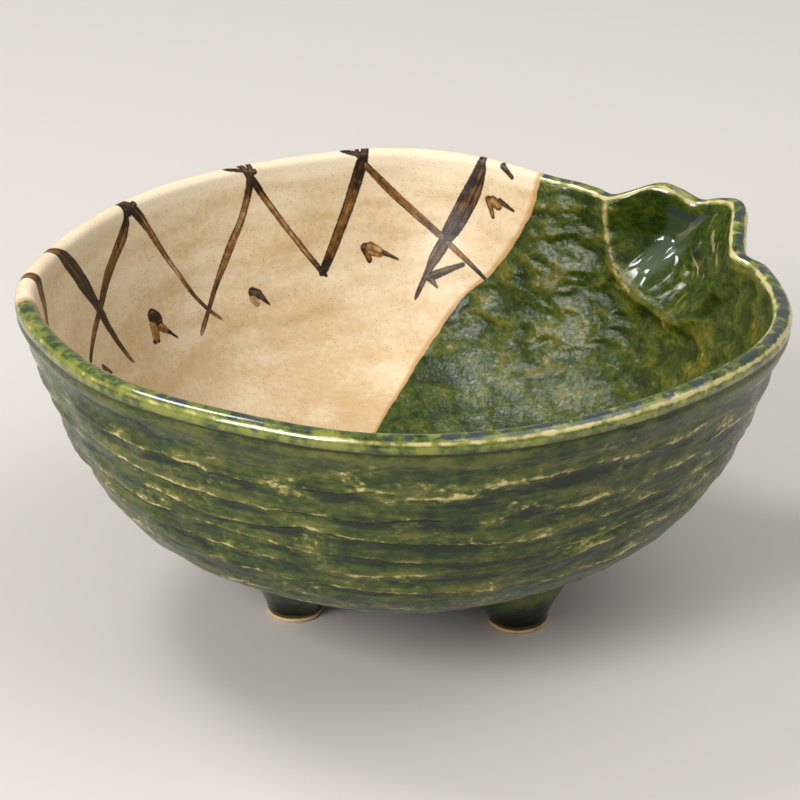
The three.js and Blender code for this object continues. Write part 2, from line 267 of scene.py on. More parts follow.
class GlazeColours(bpy.types.PropertyGroup):
    """Colours of the glazes, the iron brushwork and the bare clay"""

    # Green, pooled and Green, thin are also what the painted shade under each ridge and the painted light on
    # the slope above it lead towards.
    green_pool: colour("Green, pooled", "Green glaze outside where it lies thick under a ridge", 0x1F2A1C)
    green: colour("Green", "Green glaze outside at its usual thickness", 0x36461C)
    green_thin: colour("Green, thin", "Green glaze outside where it runs thin", 0x62632F)
    green_verge: colour("Green, verging", "Green glaze outside round a broken crest", 0x7A7838)
    green_break: colour("Green, breaking", "Glaze broken to yellow over a crest or an edge", 0xD8C68A)
    undercut: colour("Undercut", "Dark line in the groove under the rim", 0x2E1D08)
    rim_green: colour("Rim green", "Green glaze on the rim at its usual thickness", 0x4C5E1C)
    rim_thin: colour("Rim green, thin", "Green glaze on the rim where it lies thin", 0x7F8233)
    rim_edge: colour("Rim edge", "Glaze along the rim's two edges", 0x8C8C42)
    leaf_pool: colour("Leaf green, pooled", "Green glaze inside where it lies thick", 0x1F2C08)
    leaf: colour("Leaf green", "Green glaze inside at its usual thickness", 0x3A4A10)
    leaf_thin: colour("Leaf green, thin", "Green glaze inside on the lumps", 0x6B631E)
    blue_pool: colour("Blue black pools", "Glaze run together on the rim and in the pinched lobe", 0x303A3E)
    trough: colour("Trough", "Glaze run thick down the lobe's trough", 0x46583A)
    cream: colour("Cream", "Cream glaze over most of its side", 0xE6D0AC)
    # Cream, warm is partly painted shade: besides its warm clouds, the cream turns towards it further down
    # the wall.
    cream_shade: colour("Cream, warm", "Cream glaze where it lies thin and warm", 0xD0AE80)
    # Cream, rim is a painted highlight: the pale cream along the top of the rim stands in for light falling
    # on it.
    cream_rim_highlight: colour("Cream, rim", "Pale cream glaze along the rim", 0xF4E6CC)
    speck: colour("Specks", "Fine iron specks in the cream glaze", 0x946030)
    toast: colour("Toasted edge", "Tan edge where the cream meets the green", 0xB9884A)
    iron: colour("Iron, thick", "Brush strokes where the iron lies thick", 0x1E0C02)
    iron_thin: colour("Iron, thin", "Brush strokes where the brush ran dry", 0x8A5A20)
    foot_pool: colour("Foot, pooled", "Green glaze run together low on a foot", 0x0C1204)
    foot_brink: colour("Foot, brink", "Glaze thinning out above the sole", 0x6A5A22)
    clay: colour("Bare clay", "Unglazed soles of the feet", 0xDDBB90)


class StageSettings(bpy.types.PropertyGroup):
    """The floor and the light"""

    floor_colour: colour("Floor", "Colour of the pale floor", 0xCFC9C3)
    key_power: power("Key light", "Power of the soft lamp in front on the left", 32)
    high_power: power("High light", "Power of the lamp overhead on the left", 12)
    fill_power: power("Fill light", "Power of the wide lamp on the right", 15.5)
    sky: FloatProperty(name="Sky", description="Strength of the light from all round", default=0.34, min=0)


class Wire:
    """An output of a node, and the sums that can be written with it."""

    def __init__(self, tree, socket):
        self.tree = tree
        self.socket = socket

    def out(self, name):
        """Another output of the same node."""
        sockets = self.socket.node.outputs
        return Wire(self.tree, next(s for s in sockets if s.name == name and s.enabled))

    def _sum(self, operation, first, second):
        is_vector = any(isinstance(v, Wire) and v.socket.type == "VECTOR" for v in (first, second))
        kind = "ShaderNodeVectorMath" if is_vector else "ShaderNodeMath"
        if is_vector:
            first, second = ((v, v, v) if isinstance(v, (int, float)) else v for v in (first, second))
        return self.tree.add(kind, {"operation": operation}, [first, second])

    def __add__(self, other):
        return self._sum("ADD", self, other)

    def __radd__(self, other):
        return self._sum("ADD", other, self)

    def __sub__(self, other):
        return self._sum("SUBTRACT", self, other)

    def __rsub__(self, other):
        return self._sum("SUBTRACT", other, self)

    def __mul__(self, other):
        return self._sum("MULTIPLY", self, other)

    def __rmul__(self, other):
        return self._sum("MULTIPLY", other, self)

    def __truediv__(self, other):
        return self._sum("DIVIDE", self, other)

    def __lt__(self, other):
        return self._sum("LESS_THAN", self, other)

    def __abs__(self):
        return self.tree.add("ShaderNodeMath", {"operation": "ABSOLUTE"}, [self])

    def least(self, other):
        return self._sum("MINIMUM", self, other)


class Tree:
    """A shader or geometry node tree."""

    def __init__(self, nodes, links, seed):
        self.nodes = nodes
        self.links = links
        self.seed = seed

    def add(self, kind, settings=None, values=None):
        """Adds a node: its settings first, then values or wires by input name, or in the inputs' order."""
        node = self.nodes.new(kind)
        for name, value in (settings or {}).items():
            if name == "stops":
                self._set_stops(node.color_ramp, value)
            elif name == "points":
                self._set_points(node.mapping, value)
            else:
                setattr(node, name, value)
        inputs = [s for s in node.inputs if s.enabled]
        if isinstance(values, dict):
            pairs = [(next(s for s in inputs if s.name == name), value) for name, value in values.items()]
        else:
            pairs = zip(inputs, values or [])
        for socket, value in pairs:
            if isinstance(value, Wire):
                self.links.new(value.socket, socket)
            elif value is not None:
                socket.default_value = value
        outputs = [s for s in node.outputs if s.enabled]
        return Wire(self, outputs[0]) if outputs else node

    @staticmethod
    def _set_stops(ramp, stops):
        while len(ramp.elements) < len(stops):
            ramp.elements.new(1)
        for element, (position, shade) in zip(ramp.elements, stops):
            element.position = position
            element.color = (*shade, 1)

    @staticmethod
    def _set_points(mapping, points):
        line = mapping.curves[0]
        first, *middle, last = points
        line.points[0].location = first
        line.points[1].location = last
        for point in middle:
            line.points.new(*point)
        for point in line.points:
            point.handle_type = "AUTO_CLAMPED"
        mapping.extend = "HORIZONTAL"
        mapping.update()

    def curve(self, x, points, domain, span):
        """A smooth line through points, read at x. Domain and span hold the points' lowest and highest."""
        (left, right), (low, high) = domain, span
        share = [((px - left) / (right - left), (py - low) / (high - low)) for px, py in points]
        place = self.between(x, left, right)
        read = self.add("ShaderNodeFloatCurve", {"points": share}, {"Value": place})
        return read * (high - low) + low

    def between(self, x, low, high, to_low=0.0, to_high=1.0, way="LINEAR"):
        """Turns low to high into other limits, and keeps what lies past them at the limit."""
        values = {"Value": x, "From Min": low, "From Max": high, "To Min": to_low, "To Max": to_high}
        return self.add("ShaderNodeMapRange", {"interpolation_type": way}, values)

    def smooth(self, x, low, high):
        """0 up to low and 1 from high, with a smooth rise between."""
        return self.between(x, low, high, way="SMOOTHSTEP")

    def near(self, x, reach):
        """1 where x is 0, falling smoothly to 0 at reach on either side."""
        return self.between(abs(x), 0, reach, 1, 0, way="SMOOTHSTEP")

    def noise(self, place, sizes, detail=2.0, roughness=0.5, warp=0.0, shift=0.0):
        """Cloudy chance from 0 to 1, with clouds of one size, or of three along the place's axes."""
        sizes = sizes if isinstance(sizes, tuple) else (sizes, sizes, sizes)
        start = (self.seed * 3.7 + shift, self.seed * 1.3 - shift, shift)
        values = {"Vector": place * tuple(1 / s for s in sizes) + start, "Scale": 1.0}
        values |= {"Detail": detail, "Roughness": roughness, "Distortion": warp}
        return self.add("ShaderNodeTexNoise", None, values)

    def mix(self, factor, first, second):
        """Two colours, mixed."""
        values = {"Factor": factor, "A": self._shade(first), "B": self._shade(second)}
        return self.add("ShaderNodeMix", {"data_type": "RGBA"}, values)

    @staticmethod
    def _shade(value):
        return value if isinstance(value, Wire) else (*value, 1)

    def ramp(self, x, *stops):
        return self.add("ShaderNodeValToRGB", {"stops": stops}, {"Fac": x})

    def parts(self, vector):
        split = self.add("ShaderNodeSeparateXYZ", None, [vector])
        return [split.out(name) for name in "XYZ"]

    def whole(self, x):
        return self.add("ShaderNodeMath", {"operation": "ROUND"}, [x])

    def power(self, x, exponent):
        return self.add("ShaderNodeMath", {"operation": "POWER"}, [x, exponent])

    def length(self, vector):
        return self.add("ShaderNodeVectorMath", {"operation": "LENGTH"}, [vector]).out("Value")

    def dot(self, vector, fixed):
        return self.add("ShaderNodeVectorMath", {"operation": "DOT_PRODUCT"}, [vector, fixed]).out("Value")

    def angle_about(self, around, middle):
        """Degrees round the bowl, from 180 below the middle angle to 180 above it."""
        c, s = math.cos(math.radians(middle)), math.sin(math.radians(middle))
        across, ahead = self.dot(around, (-s, c, 0)), self.dot(around, (c, s, 0))
        turn = self.add("ShaderNodeMath", {"operation": "ARCTAN2"}, [across, ahead])
        return turn * (180 / math.pi) + middle


def smooth(low, high, x):
    t = np.clip((x - low) / (high - low), 0, 1)
    return t * t * (3 - 2 * t)


def swell(x, spread):
    return np.exp(-((x / spread) ** 2))


def turn_between(a, b):
    return (a - b + 180) % 360 - 180


def through(points, x):
    """A smooth line through points of x and several values, with the slopes of a cubic."""
    table = np.array(points, float)
    at, values = table[:, 0], table[:, 1:]
    step = np.diff(at)
    slope = np.diff(values, axis=0) / step[:, None]
    lean = np.zeros_like(values)
    lean[1:-1] = (slope[1:] * step[:-1, None] + slope[:-1] * step[1:, None]) / (step[1:] + step[:-1])[:, None]
    i = np.clip(np.searchsorted(at, x) - 1, 0, len(step) - 1)
    t = np.clip((x - at[i]) / step[i], 0, 1)[..., None]
    h = step[i][..., None]
    start = values[i] * (1 + 2 * t) * (1 - t) ** 2 + lean[i] * h * t * (1 - t) ** 2
    end = values[i + 1] * t * t * (3 - 2 * t) + lean[i + 1] * h * t * t * (t - 1)
    return start + end


class Wall:
    """The wall's surface in millimetres, from the sizes: a turned section, swollen, leaned and pinched."""

    def __init__(self, sizes):
        self.radius = sizes.rim_radius / MM
        self.height = sizes.rim_height / MM
        self.underside = sizes.underside_height / MM
        self.wall = sizes.wall / MM
        rise = self.height - self.wall / 2 - self.underside
        corners = [(r * self.radius, self.underside + rise * up) for r, up in WALL_CURVE]
        self.line = self._spline(corners)
        steps = np.hypot(*np.diff(self.line, axis=0).T)
        self.run = np.r_[0, np.cumsum(steps)]
        self.length = float(self.run[-1])
        slope = np.gradient(self.line, self.run, axis=0)
        self.slope = slope / np.linalg.norm(slope, axis=1)[:, None]

    @staticmethod
    def _spline(corners, steps=200):
        """A Catmull-Rom line, as the bowl's source turns it."""
        points = np.array(corners, float)
        padded = np.vstack([points[0], points, points[-1]])
        line = []
        t = np.linspace(0, 1, steps, endpoint=False)[:, None]
        for p0, p1, p2, p3 in zip(padded, padded[1:], padded[2:], padded[3:]):
            v0, v1 = (p2 - p0) / 2, (p3 - p1) / 2
            cubic = (2 * p1 - 2 * p2 + v0 + v1) * t**3
            line.append(cubic + (3 * p2 - 3 * p1 - 2 * v0 - v1) * t**2 + v0 * t + p1)
        return np.vstack(line + [points[-1:]])

    def section(self, share):
        at = np.clip(share, 0, 1) * self.length
        place = [np.interp(at, self.run, self.line[:, k]) for k in (0, 1)]
        along = [np.interp(at, self.run, self.slope[:, k]) for k in (0, 1)]
        return place + along

    def thickness(self, share):
        return self.wall + FLOOR_EXTRA * (1 - smooth(0.1, 0.6, share))

    def underside_at(self, distance):
        return np.interp(distance, self.line[:, 0], self.line[:, 1])

    def lobe(self, angle, down):
        """How the lobe moves a point: out from the axis, and up."""
        along = np.radians(turn_between(angle, LOBE_AT)) * self.radius
        across = np.abs((along - NECK_MIDDLE) / NECK_HALF_WIDTH) ** NECK_SQUARENESS
        ring = (across + (np.abs(down) / NECK_DEPTH) ** NECK_SQUARENESS) ** (1 / NECK_SQUARENESS)
        inside = 1 - smooth(POCKET_FLOOR, 1, ring)
        pocket = POCKET_OUT * inside - NECK_IN * swell((ring - 1) * NECK_HALF_WIDTH, NECK_SPREAD)
        for at, lean, out, spread in CREASES:
            pocket = pocket + out * swell(along - at - lean * down, spread) * inside
        rim = through(LOBE_RIM, along)
        lip = 1 - smooth(0, LIP_REACH, down)
        return rim[..., 0] * lip + pocket * (1 - lip), rim[..., 1] * (1 - smooth(0, LIFT_REACH, down))

    def point(self, angle, share, inward, past):
        """A point at an angle and a share of the section, so far in from the outer skin and past its end."""
        angle, share, inward, past = np.broadcast_arrays(angle, share, inward, past)
        x, z, tx, tz = self.section(share)
        down = (1 - share) * self.length
        sway = smooth(SWELL_FROM, 1, share)
        out, up = self.lobe(angle, down)
        wide = sum(o * swell(turn_between(angle, at), spread) for at, o, spread in RIM_SWELLS)
        dip = sum(d * swell(turn_between(angle, at), spread) for at, d, spread in RIM_DIPS)
        outer = np.clip(1 - inward / self.wall, 0, 1)
        roll = ROLL_OUT * swell(down - ROLL_DEPTH, ROLL_SPREAD) * outer
        radius = x + tx * past - tz * inward + wide * sway + out + roll
        height = z + tz * past + tx * inward + up - dip * sway
        turn = np.radians(angle)
        lean = LEAN * smooth(LEAN_FROM, 1, share)
        return np.stack([AXIS[0] + radius * np.cos(turn), AXIS[1] + radius * np.sin(turn) + lean, height], -1)


def foot_centres(sizes):
    """Where the middle of each foot stands, in millimetres."""
    for at, reach, _ in FEET.values():
        distance, turn = sizes.foot_from_axis / MM * reach, math.radians(at)
        yield AXIS[0] + distance * math.cos(turn), AXIS[1] + distance * math.sin(turn)


def ridge_number(angle, down):
    """Counts the finger ridges down from the rim: 0 on the lip of the first, 1 on that of the next."""
    lips = [through(points, turn_between(angle, -90) - 90)[..., 0] for points in CRESTS]
    number = np.clip((down - lips[0]) / RIDGE_PITCH, -0.5, 0)
    for upper, lower in zip(lips, lips[1:]):
        number = number + np.clip((down - upper) / (lower - upper), 0, 1)
    return number + np.clip((down - lips[-1]) / RIDGE_PITCH, 0, 0.5)


def cream_reach(angle, down):
    """Millimetres into the cream glaze inside the bowl, negative under the green."""
    turned = turn_between(angle, CREAM_MIDDLE) + CREAM_MIDDLE
    right = turned - through(CREAM_RIGHT, down)[..., 0]
    left = through(CREAM_LEFT, down)[..., 0] - turned
    sides = [side * MM_PER_DEGREE / EDGE_ROUNDING for side in (right, left)]
    return -EDGE_ROUNDING * np.logaddexp(-sides[0], -sides[1])


def spaced(start, end, count):
    return list(np.linspace(start, end, count, endpoint=False))


def stepped(start, stretches):
    """Depths from a start through stretches, each given by its end and its number of rows."""
    depths = []
    for end, count in stretches:
        depths += spaced(start, end, count)
        start = end
    return depths


def skin_rows(wall):
    """Rows of the skin from the underside, over the rim and down to the floor: share, inward, past, skin."""
    outer = stepped(wall.length, OUTER_ROWS)[1:]
    inner = stepped(0, (*INNER_ROWS, (wall.length, INNER_FLOOR_ROWS)))[1:]
    rows = [(1 - down / wall.length, 0, 0, 0) for down in outer]
    for i in range(RIM_ROWS + 1):
        turn = math.pi * i / RIM_ROWS
        rows.append((1, wall.wall / 2 * (1 - math.cos(turn)), wall.wall / 2 * math.sin(turn), i / RIM_ROWS))
    for down in inner:
        share = 1 - down / wall.length
        rows.append((share, float(wall.thickness(share)), 0, 1))
    return np.array(rows)


def close_skin(rows, first_pole, last_pole):
    """Points and faces of rows of points between two poles, facing outward."""
    count, columns = rows.shape[:2]
    points = np.vstack([[first_pole], rows.reshape(-1, 3), [last_pole]])
    index = 1 + np.arange(count)[:, None] * columns + np.arange(columns)[None]
    beside = np.roll(index, -1, 1)
    quads = np.stack([index[:-1], beside[:-1], beside[1:], index[1:]], -1).reshape(-1, 4).tolist()
    first = [(0, int(b), int(a)) for a, b in zip(index[0], beside[0])]
    last = [(int(a), int(b), len(points) - 1) for a, b in zip(index[-1], beside[-1])]
    return points, quads + first + last


def make_piece(name, points, faces, fields):
    """A smooth shaded mesh object with its place in its mesh, and named fields on its points."""
    mesh = bpy.data.meshes.new(name)
    mesh.from_pydata((points * MM).tolist(), [], faces)
    mesh.polygons.foreach_set("use_smooth", [True] * len(mesh.polygons))
    for field, values in fields.items():
        kind, key = ("FLOAT_VECTOR", "vector") if values.ndim == 2 else ("FLOAT", "value")
        mesh.attributes.new(field, kind, "POINT").data.foreach_set(key, values.ravel().astype(np.float32))
    mesh.update()
    piece = bpy.data.objects.new(name, mesh)
    bpy.context.collection.objects.link(piece)
    return piece


def bake_nodes(piece, group, inputs):
    """Runs a node group on the piece and keeps the result as its plain mesh."""
    modifier = piece.modifiers.new(group.name, "NODES")
    modifier.node_group = group
    for item in group.interface.items_tree:
        if item.in_out == "INPUT" and item.name in inputs:
            modifier[item.identifier] = inputs[item.name]
    graph = bpy.context.evaluated_depsgraph_get()
    graph.update()
    made = piece.evaluated_get(graph)
    plain = bpy.data.meshes.new_from_object(made, preserve_all_data_layers=True, depsgraph=graph)
    piece.modifiers.clear()
    rough = piece.data
    piece.data = plain
    plain.name = piece.name
    bpy.data.meshes.remove(rough)


def round_the_wall(around):
    """A place on the wall rolled out, in millimetres, for chance that follows the throwing."""
    return around * (100, 100, 1)


def thrown_ridges(t, ridge, around):
    """The ridges outside, from 0 to 1: the lip of each, the hollow under it and the slope above it."""
    place = round_the_wall(around)
    wander = t.noise(place, (34, 34, 10), shift=1) * 3.2
    stray = wander + t.noise(place, (5, 5, 4), detail=3, shift=2) * 2.4 - 2.8
    number = ridge + stray / RIDGE_PITCH
    off = (number - t.whole(number)) * RIDGE_PITCH
    lip = t.near(off, 1.3)
    hollow = t.near(off - 2.6, 2.6)
    slope = t.smooth(off, -4.3, -0.4) * (1 - t.smooth(off, -0.6, 2.2))
    return lip, hollow, slope


def glaze_edge(t, reach, place):
    """Millimetres into the cream glaze, with the waver of its poured edge."""
    return reach + t.noise(place, 9, detail=3, shift=5) * 3.4 - 1.7


def pressed_lumps(t, place, size):
    """Lumps where the green corner was pressed by hand, from 0 to 1, drawn out round the bowl."""
    broad = t.noise(place, (size, size, size * 0.5), detail=1, warp=0.5, shift=7)
    fine = t.noise(place, (size * 0.35, size * 0.35, size * 0.25), detail=2, shift=8)
    return t.smooth(broad * 0.8 + fine * 0.2, 0.33, 0.67)


def lobe_parts(t, around, down):
    """The pocket of the pinched lobe, its brim, the run of glaze in its trough, and the folds beside it."""
    along = (t.angle_about(around, LOBE_AT) - LOBE_AT) * MM_PER_DEGREE
    across = t.power(abs(along - NECK_MIDDLE) / NECK_HALF_WIDTH, NECK_SQUARENESS)
    deep = t.power(abs(down) / NECK_DEPTH, NECK_SQUARENESS)
    ring = t.power(across + deep, 1 / NECK_SQUARENESS)
    pocket = 1 - t.smooth(ring, 0.8, 0.98)
    brim = t.near(ring - 1.02, 0.075)
    at, lean, _, _ = CREASES[0]
    middle = along - down * lean * 0.75 - at - 1.5
    run = (1 - t.smooth(abs(middle), 3.2, 6)) * (1 - t.smooth(ring, 0.86, 0.96)) * t.smooth(down, 1, 4)
    turned = t.add("ShaderNodeCombineXYZ", None, [along + down * 0.45, down - along * 0.25, 0])
    folds = t.noise(turned, (3.4, 13, 1), detail=2, warp=0.9, shift=12)
    beside = pocket * t.smooth(middle * -1, 5, 9)
    return pocket, brim * t.smooth(along, -6, 12), run, folds, beside


def relief_heights(sizes):
    """How high each of the hand's marks stands, by the name of its input in the node group."""
    return {
        "Ridge Height": sizes.ridge_out,
        "Beaten Height": sizes.beaten_out,
        "Lump Height": sizes.lump_out,
        "Fold Height": FOLD_OUT * MM,
        "Ring Height": sizes.ring_out,
        "Waver Height": WAVER_OUT * MM,
        "Groove Depth": GROOVE_IN * MM,
        "Slip Height": sizes.slip_out,
    }


def relief_nodes(sizes):
    """Geometry nodes that raise the finger ridges, the pressed lumps and the lobe's folds on a plain skin."""
    group = bpy.data.node_groups.new("hand_relief", "GeometryNodeTree")
    face = group.interface
    face.new_socket("Skin", in_out="INPUT", socket_type="NodeSocketGeometry")
    for name in relief_heights(sizes):
        face.new_socket(name, in_out="INPUT", socket_type="NodeSocketFloat").subtype = "DISTANCE"
    face.new_socket("Glaze", in_out="INPUT", socket_type="NodeSocketMaterial")
    face.new_socket("Bowl", in_out="OUTPUT", socket_type="NodeSocketGeometry")

    t = Tree(group.nodes, group.links, sizes.seed)
    given = t.add("NodeGroupInput")
    kinds = {"around": "FLOAT_VECTOR", "skin": "FLOAT", "ridge": "FLOAT", "cream_reach": "FLOAT"}
    around, skin, ridge, reach = (
        t.add("GeometryNodeInputNamedAttribute", {"data_type": kind}, {"Name": name})
        for name, kind in kinds.items()
    )
    place = t.add("GeometryNodeInputPosition") * 1000
    down = t.parts(around)[2]
    ring = round_the_wall(around)
    outside = 1 - t.smooth(skin, 0, 0.25)
    inside = t.smooth(skin, 0.75, 1)

    _, hollow, slope = thrown_ridges(t, ridge, around)
    below_rim = t.smooth(down, 3, 9) * outside
    uneven = t.smooth(t.noise(ring, (22, 22, 7), detail=2, shift=3), 0.36, 0.66)
    shallow = (1 - t.smooth(down, 42, 56) * 0.6) * t.between(t.parts(around)[0], -0.95, -0.3, 1.5, 0.75)
    ridges = (slope - 0.45 - hollow * 0.25) * (uneven + 0.1) * shallow * given.out("Ridge Height")
    beaten = (t.noise(ring, (15, 15, 7), detail=1, shift=4) - 0.5) * given.out("Beaten Height")
    groove = t.near(down - GROOVE_DEPTH, GROOVE_REACH) * outside * given.out("Groove Depth")

    pocket, _, run, folds, beside = lobe_parts(t, around, down)
    cream = t.smooth(glaze_edge(t, reach, place), -2, 2)
    lumps = pressed_lumps(t, place, sizes.lump_size / MM) - 0.5
    pressed = lumps * (1 - cream) * (1 - pocket * 0.9) * given.out("Lump Height")
    ripples = t.noise(ring, (5, 5, 20), detail=1, warp=0.3, shift=14)
    shelf = t.smooth(down, 6, 22) * run
    folded = ((folds - 0.5) * beside + (ripples - 0.5) * run * 0.25 + shelf) * given.out("Fold Height")
    rings = (t.noise(ring, (26, 26, 7), detail=1, shift=9) - 0.5) * cream * given.out("Ring Height")
    settle = 1 - t.smooth(down, 42, 90) * 0.75
    within = (pressed + folded + rings) * inside * settle * t.smooth(down, 0, 4)
    waver = (t.noise(place, 16, shift=11) - 0.5) * given.out("Waver Height")
    slip = 0.0
    for x, y in foot_centres(sizes):
        slip = t.near(t.length((place - (x, y, 0)) * (1, 1, 0)), SLIP_REACH) + slip
    slip = slip * t.smooth(down, 30, 60) * outside * given.out("Slip Height")
    lift = (ridges + beaten) * below_rim - groove + within + waver + slip
    offset = t.add("GeometryNodeInputNormal") * t.add("ShaderNodeCombineXYZ", None, [lift, lift, lift])
    moved = t.add("GeometryNodeSetPosition", None, {"Geometry": given.out("Skin"), "Offset": offset})
    real = t.add("GeometryNodeRealizeInstances", None, {"Geometry": moved})
    glazed = t.add("GeometryNodeSetMaterial", None, {"Geometry": real, "Material": given.out("Glaze")})
    t.add("NodeGroupOutput", None, [glazed])
    return group


def new_material(name, seed):
    """A material, its tree and its one shader node."""
    material = bpy.data.materials.new(name)
    material.use_nodes = True
    shader = next(n for n in material.node_tree.nodes if n.type == "BSDF_PRINCIPLED")
    return material, Tree(material.node_tree.nodes, material.node_tree.links, seed), shader


def finish_shader(t, shader, shade, roughness, height, specular):
    """Colour, roughness, fine relief in millimetres and the strength of the shine, into the shader."""
    shader.inputs["Specular IOR Level"].default_value = specular
    bump = t.add("ShaderNodeBump", None, {"Strength": 1.0, "Distance": MM, "Height": height})
    for name, wire in (("Base Color", shade), ("Roughness", roughness), ("Normal", bump)):
        t.links.new(wire.socket, shader.inputs[name])


def brushwork(t, around, down, place):
    """How far the iron covers a place, and how thick it lies."""
    angle = t.angle_about(around, CREAM_MIDDLE)
    ragged = (t.noise(place, 0.7, shift=13) - 0.5) * 0.5
    nearest, thick, across = 9.0, 0.0, 0.0
    for stroke in STROKES:
        low, high = stroke[0][0][0], stroke[0][-1][0]
        middle, half, strength = (
            t.curve(down, points, (low, high), span) for points, span in zip(stroke, STROKE_SPANS)
        )
        off = (angle - middle) * MM_PER_DEGREE
        past_end = t.smooth(down, high - 0.2, high) * 3
        edge = abs(off) - half + past_end
        chosen = edge < nearest
        nearest = edge.least(nearest)
        thick = t.between(chosen, 0, 1, thick, strength)
        across = t.between(chosen, 0, 1, across, off)
    for (a0, d0, r0), (a1, d1, r1), strength in DABS:
        run = ((a1 - a0) * MM_PER_DEGREE, d1 - d0)
        reach = run[0] ** 2 + run[1] ** 2
        u = (angle - a0) * MM_PER_DEGREE
        v = down - d0
        share = t.between(u * (run[0] / reach) + v * (run[1] / reach), 0, 1)
        du = u - share * run[0]
        dv = v - share * run[1]
        distance = t.add("ShaderNodeMath", {"operation": "SQRT"}, [du * du + dv * dv])
        edge = distance - (r0 + share * (r1 - r0))
        chosen = edge < nearest
        nearest = edge.least(nearest)
        thick = t.between(chosen, 0, 1, thick, strength)
        across = t.between(chosen, 0, 1, across, dv)
    streak_place = t.add("ShaderNodeCombineXYZ", None, [across, down * 0.07, angle * 0.05])
    streaks = t.noise(streak_place, (0.8, 1, 1), detail=2, shift=15)
    covered = 1 - t.smooth(nearest + ragged, -0.25, 0.3)
    blots = t.noise(place, (1.5, 1.5, 2.2), detail=3, shift=35) - 0.5
    rim_dark = t.smooth(nearest, -0.8, -0.1) * t.smooth(thick, 0.2, 0.7) * 0.45
    laid = thick + (streaks - 0.5) * 1.2 + blots * 0.9 + rim_dark
    return covered * t.between(laid, 0.1, 0.5, 0.4, 1), t.smooth(laid, 0.4, 1.05)


class GlazeFields:
    """What the glazes read at a point of the bowl's skin."""

    def __init__(self, t):
        self.around = t.add("ShaderNodeAttribute", {"attribute_name": "around"}).out("Vector")
        self.skin, self.ridge, self.reach = (
            t.add("ShaderNodeAttribute", {"attribute_name": name}).out("Fac")
            for name in ("skin", "ridge", "cream_reach")
        )
        self.place = t.add("ShaderNodeTexCoord").out("Object") * 1000
        self.toward_right, _, self.down = t.parts(self.around)
        self.ring = round_the_wall(self.around)
        self.on_rim = (1 - t.smooth(self.down, 0.2, 0.8)) * (1 - t.smooth(self.skin, 0.94, 1))
        self.inside = t.smooth(self.skin, 0.94, 1)
        self.outside = 1 - t.smooth(self.skin, 0, 0.06)


def outer_glaze(t, at, colours):
    """Outside: streaks that follow the throwing, darker under the ridges where glaze lies thick and as
    painted shade, lighter on the slopes above them where it runs thin and as painted light, broken to yellow
    on their lips.
    """
    lip, hollow, slope = thrown_ridges(t, at.ridge, at.around)
    below_rim = t.smooth(at.down, 3, 7)
    streaks = t.noise(at.ring, (30, 30, 1.7), detail=4, roughness=0.6, shift=17)
    bands = t.noise(at.ring, (32, 32, 6), detail=3, shift=18)
    clouds = t.noise(at.place, (8, 8, 5), detail=4, roughness=0.62, shift=19)
    curds = t.noise(at.place, (2.6, 2.6, 1.6), detail=3, roughness=0.6, shift=30)
    flow = streaks * 0.3 + bands * 0.22 + clouds * 0.28 + curds * 0.28
    by_chance = t.noise(at.ring, (15, 15, 5), detail=2, shift=21)
    # Darker in the hollow under each ridge, partly glaze lying thick and partly painted shade; lighter on the
    # slope above it, partly thinner glaze and partly painted light.
    shade_and_pool_share = (1 - t.smooth(by_chance, 0.4, 0.58)) * below_rim
    light_and_thin_slope = slope * below_rim * t.smooth(by_chance, 0.42, 0.6) * 0.06
    tone = flow + light_and_thin_slope - hollow * shade_and_pool_share * 0.16 - 0.01
    shade = t.ramp(tone, (0.43, colours.green_pool), (0.53, colours.green), (0.65, colours.green_thin))
    ragged = t.noise(at.place, (2.3, 2.3, 1.5), detail=3, roughness=0.6, shift=20)
    break_share = lip * 0.38 + slope * 0.14 + (ragged - 0.5) * 2.1 + (by_chance - 0.5) * 2.1
    broken = t.smooth(break_share, 0.5, 0.95) * below_rim * at.outside
    shade = t.mix(t.smooth(break_share, 0.2, 0.6) * below_rim * 0.5, shade, colours.green_verge)
    shade = t.mix(broken * 0.75, shade, colours.green_break)
    collar = t.near(at.down - ROLL_DEPTH, 2.4) * t.smooth(clouds, 0.4, 0.6)
    shade = t.mix(collar * 0.5, shade, colours.green_thin)
    undercut = t.near(at.down - 1.15 + (ragged - 0.5) * 1.2, 0.65)
    shade = t.mix(undercut * 0.9, shade, colours.undercut)
    drawn = ((flow - 0.5) * 0.6 + lip * 0.25) * below_rim * at.outside
    return shade, broken, drawn


def rim_glaze(t, at, colours):
    """The rim: leaf green, a little lighter low on its outer face as painted light, thin and yellow along its
    two edges and partly a painted highlight on the outer one, with blue black pools on the top.
    """
    clumps = t.noise(at.place, 5, detail=3, roughness=0.6, shift=22)
    # Painted light: the lower outer face of the rim is made a little lighter.
    tone = clumps + t.near(at.skin - 0.1, 0.14) * 0.08
    shade = t.ramp(tone, (0.34, colours.leaf_pool), (0.48, colours.rim_green), (0.62, colours.rim_thin))
    top = t.near(at.skin - 0.54, 0.3)
    toward_lobe = at.toward_right * 0.06
    gathered = t.noise(at.place, (5, 5, 3), detail=3, shift=23) + toward_lobe + (top - 1) * 0.14
    shade = t.mix(t.smooth(gathered, 0.49, 0.57) * 0.9, shade, colours.blue_pool)
    # Yellow along the two edges where the glaze breaks thin; on the outer edge this line is partly a painted
    # highlight.
    edges = t.near(at.skin - 0.27, 0.13) + t.near(at.skin - 0.83, 0.13)
    patchy = (t.noise(at.place, 3.5, detail=4, shift=24) - 0.5) * 1.8
    thin_edge_and_highlight = t.smooth(edges * 0.55 + patchy + toward_lobe * 4, 0.3, 0.75)
    shade = t.mix(t.smooth(edges, 0.1, 0.8) * 0.5, shade, colours.rim_edge)
    return t.mix(thin_edge_and_highlight * 0.8, shade, colours.green_break)


